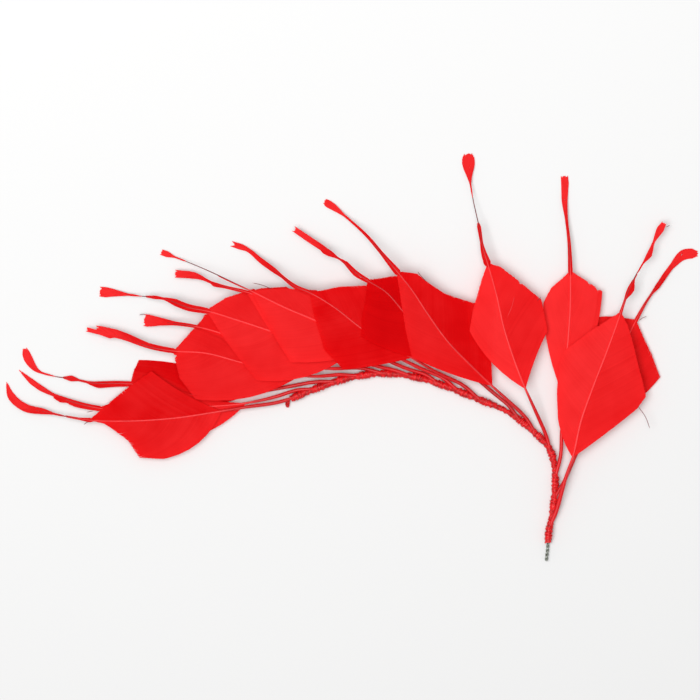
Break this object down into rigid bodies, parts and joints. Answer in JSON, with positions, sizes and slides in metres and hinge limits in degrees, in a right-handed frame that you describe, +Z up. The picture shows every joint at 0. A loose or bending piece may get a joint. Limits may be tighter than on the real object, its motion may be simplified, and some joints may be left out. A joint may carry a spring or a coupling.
{
  "type": "feather spray",
  "caption": "Red spray of goose quill feathers cut to diamonds with tufted tips, bound with thread along a curved wire stem, for trimming hats and hair bands.",
  "frame": {"origin": "middle of the spray's outline seen from above, on the surface that it lies on", "axes": "+Z up from the surface, +X along the length of the spray from the far left tuft to the far right one, -Y towards the bare end of the wire"},
  "size_m": [0.416, 0.245, 0.0167],
  "materials": {
    "dyed_feather": "satin red dyed feather",
    "binding_thread": "glossy red thread",
    "stem_wire": "grey twisted wire"
  },
  "bodies": {
    "root": {"feather_01": "dyed_feather", "feather_02": "dyed_feather", "feather_03": "dyed_feather", "feather_04": "dyed_feather", "feather_05": "dyed_feather", "feather_06": "dyed_feather", "feather_07": "dyed_feather", "feather_08": "dyed_feather", "feather_09": "dyed_feather", "feather_10": "dyed_feather", "feather_11": "dyed_feather", "feather_12": "dyed_feather", "feather_13": "dyed_feather", "feather_14": "dyed_feather", "feather_15": "dyed_feather", "thread_binding": "binding_thread", "stem_wire": "stem_wire"}
  },
  "joints": []
}
